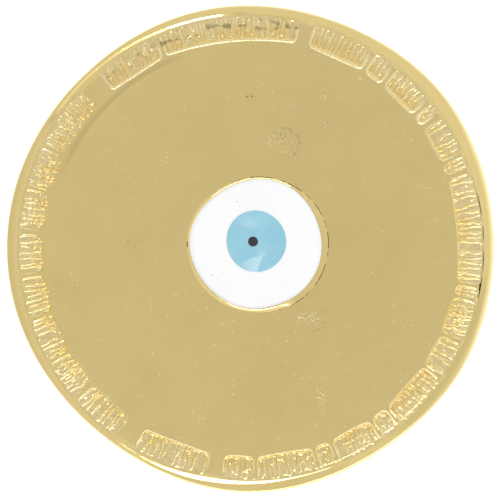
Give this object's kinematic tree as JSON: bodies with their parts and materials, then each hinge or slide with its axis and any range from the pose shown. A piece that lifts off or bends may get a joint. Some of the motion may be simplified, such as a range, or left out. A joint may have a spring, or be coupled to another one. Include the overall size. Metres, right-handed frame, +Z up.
{
  "type": "evil eye ornament",
  "caption": "Flat round gold-plated disc with a rolled rim, a border of raised ornament and an off-centre enamelled eye; lies face up as a lucky charm or paperweight.",
  "frame": {"origin": "under the middle of the disc, on the surface that the felt pad stands on", "axes": "+Z up through the face; +Y towards the top of the disc as it is looked at; +X to its right"},
  "size_m": [0.1, 0.1, 0.006],
  "materials": {
    "felt": "matt felt",
    "gold_plate": "polished gold plate",
    "gold_rim": "polished gold plate",
    "gold_bezel": "polished gold plate",
    "gold_border": "bright cast gold plate",
    "white_enamel": "gloss",
    "blue_enamel": "gloss",
    "black_enamel": "gloss"
  },
  "bodies": {
    "root": {"base_pad": "felt", "disc_plate": "gold_plate", "rim_ring": "gold_rim", "eye_bezel": "gold_bezel", "eye_white": "white_enamel", "eye_iris": "blue_enamel", "eye_pupil": "black_enamel", "border_panel_01": "gold_border", "border_panel_02": "gold_border", "border_panel_03": "gold_border", "border_panel_04": "gold_border", "border_panel_05": "gold_border", "border_panel_06": "gold_border", "border_panel_07": "gold_border", "border_panel_08": "gold_border", "border_panel_09": "gold_border", "border_panel_10": "gold_border", "border_panel_11": "gold_border", "border_panel_12": "gold_border", "border_panel_13": "gold_border", "border_panel_14": "gold_border", "border_panel_15": "gold_border", "border_panel_16": "gold_border", "border_panel_17": "gold_border", "border_panel_18": "gold_border", "border_panel_19": "gold_border", "border_panel_20": "gold_border", "border_panel_21": "gold_border", "border_panel_22": "gold_border", "border_panel_23": "gold_border", "border_panel_24": "gold_border", "border_panel_25": "gold_border", "border_panel_26": "gold_border", "border_panel_27": "gold_border"}
  },
  "joints": []
}
